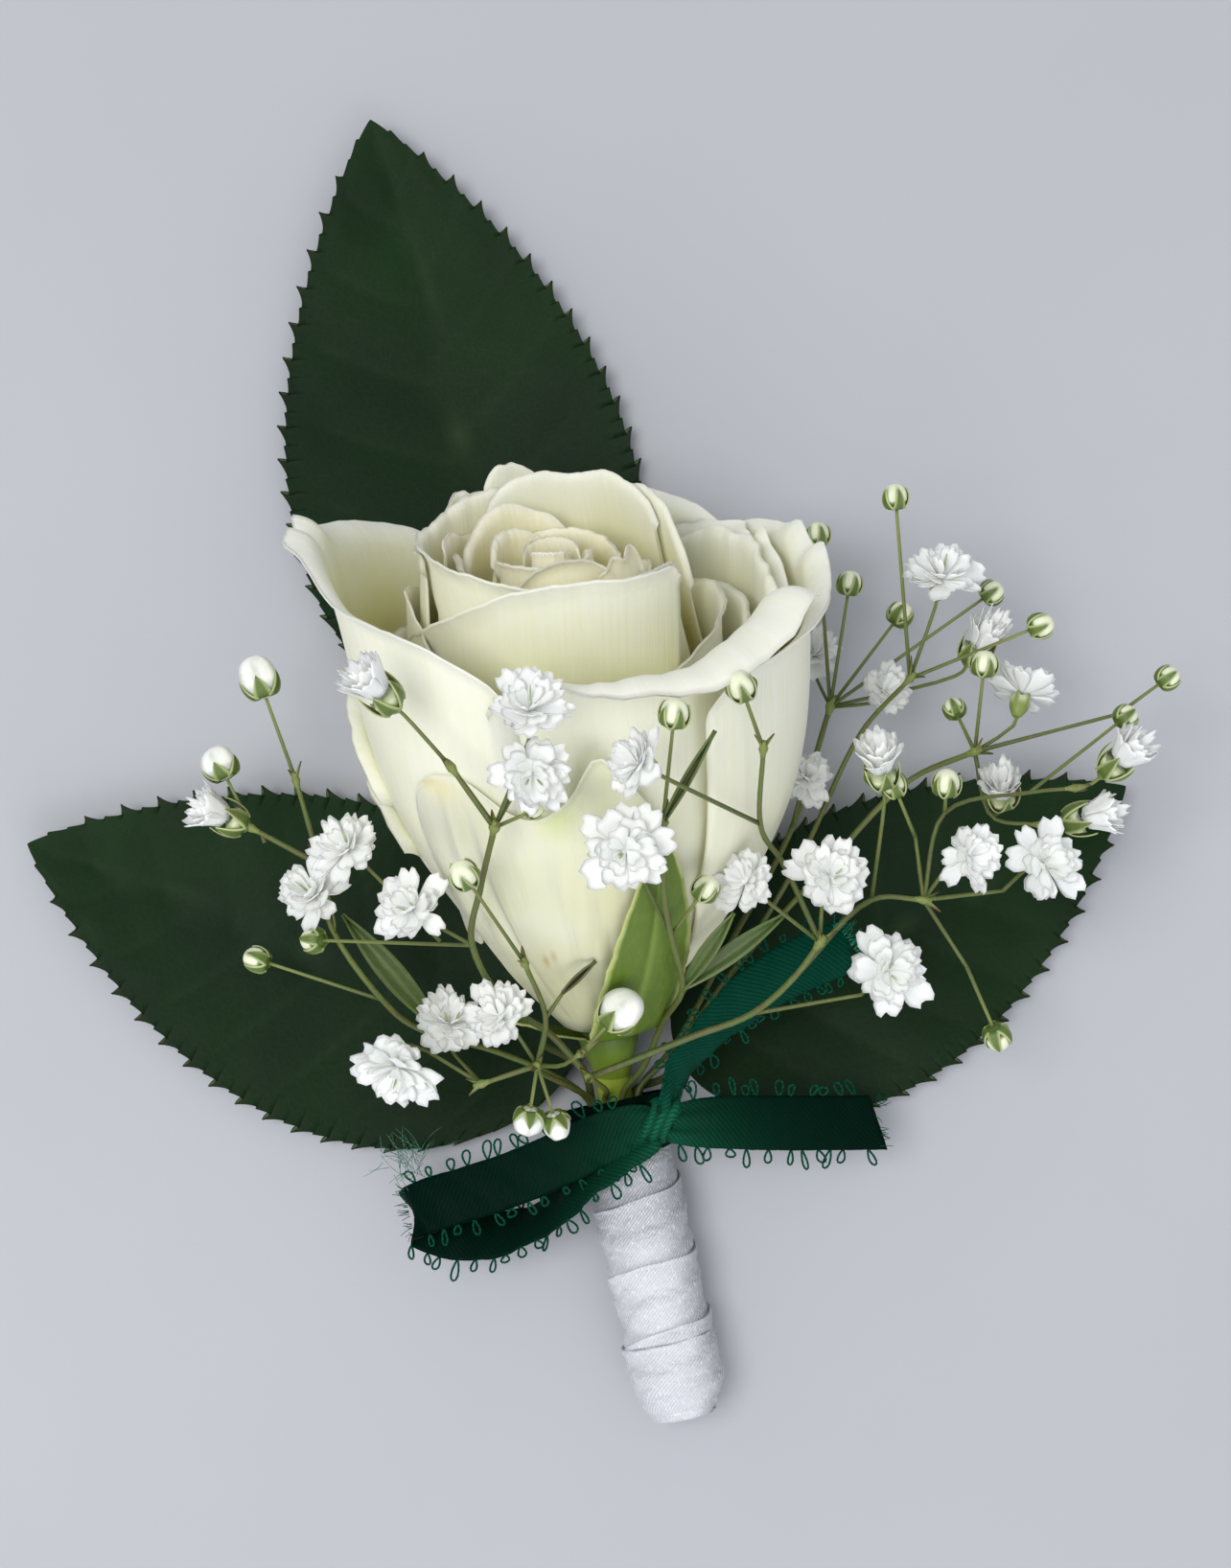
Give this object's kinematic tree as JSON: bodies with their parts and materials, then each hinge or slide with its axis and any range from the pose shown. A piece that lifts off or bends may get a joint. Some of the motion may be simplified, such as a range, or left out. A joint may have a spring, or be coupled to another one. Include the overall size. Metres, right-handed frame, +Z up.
{
  "type": "boutonniere",
  "caption": "Buttonhole flower with a white rose, rose leaves and sprays of baby's breath on taped stems, wrapped in white satin and tied with a green picot ribbon.",
  "frame": {"origin": "the point on the surface under the tied stems, in the middle of the flat underside of the green ribbon's ring", "axes": "+Y from the tied stems to the tip of the top leaf, +Z up from the surface, +X to the right as seen from above"},
  "size_m": [0.1286, 0.1499, 0.0646],
  "materials": {
    "rose_petal": "soft cream white petals, greener in their depths",
    "rose_green": "smooth yellow green stem and sepals",
    "leaf": "dark green, half matt",
    "floret": "pure white, thin petals",
    "spray_green": "olive green stems, buds and bracts",
    "floral_tape": "dark green crepe tape",
    "white_satin": "white satin",
    "green_satin": "dark green satin with picot edges"
  },
  "bodies": {
    "root": {"rose_bloom": "rose_petal", "rose_stem": "rose_green", "leaf_top": "leaf", "leaf_left": "leaf", "leaf_right": "leaf", "satin_wrap": "white_satin", "floral_tape": "floral_tape", "green_ribbon": "green_satin", "spray_left": "spray_green", "spray_low": "spray_green", "spray_front": "spray_green", "spray_centre": "spray_green", "spray_right": "spray_green", "spray_back": "spray_green", "floret_01": "floret", "floret_02": "floret", "floret_03": "floret", "floret_04": "floret", "floret_05": "floret", "floret_06": "floret", "floret_07": "floret", "floret_08": "floret", "floret_09": "floret", "floret_10": "floret", "floret_11": "floret", "floret_12": "floret", "floret_13": "floret", "floret_14": "floret", "floret_15": "floret", "floret_16": "floret", "floret_17": "floret", "floret_18": "floret", "floret_19": "floret", "floret_20": "floret", "floret_21": "floret", "floret_22": "floret", "floret_23": "floret", "floret_24": "floret", "floret_25": "floret", "floret_26": "floret", "floret_27": "floret"}
  },
  "joints": []
}
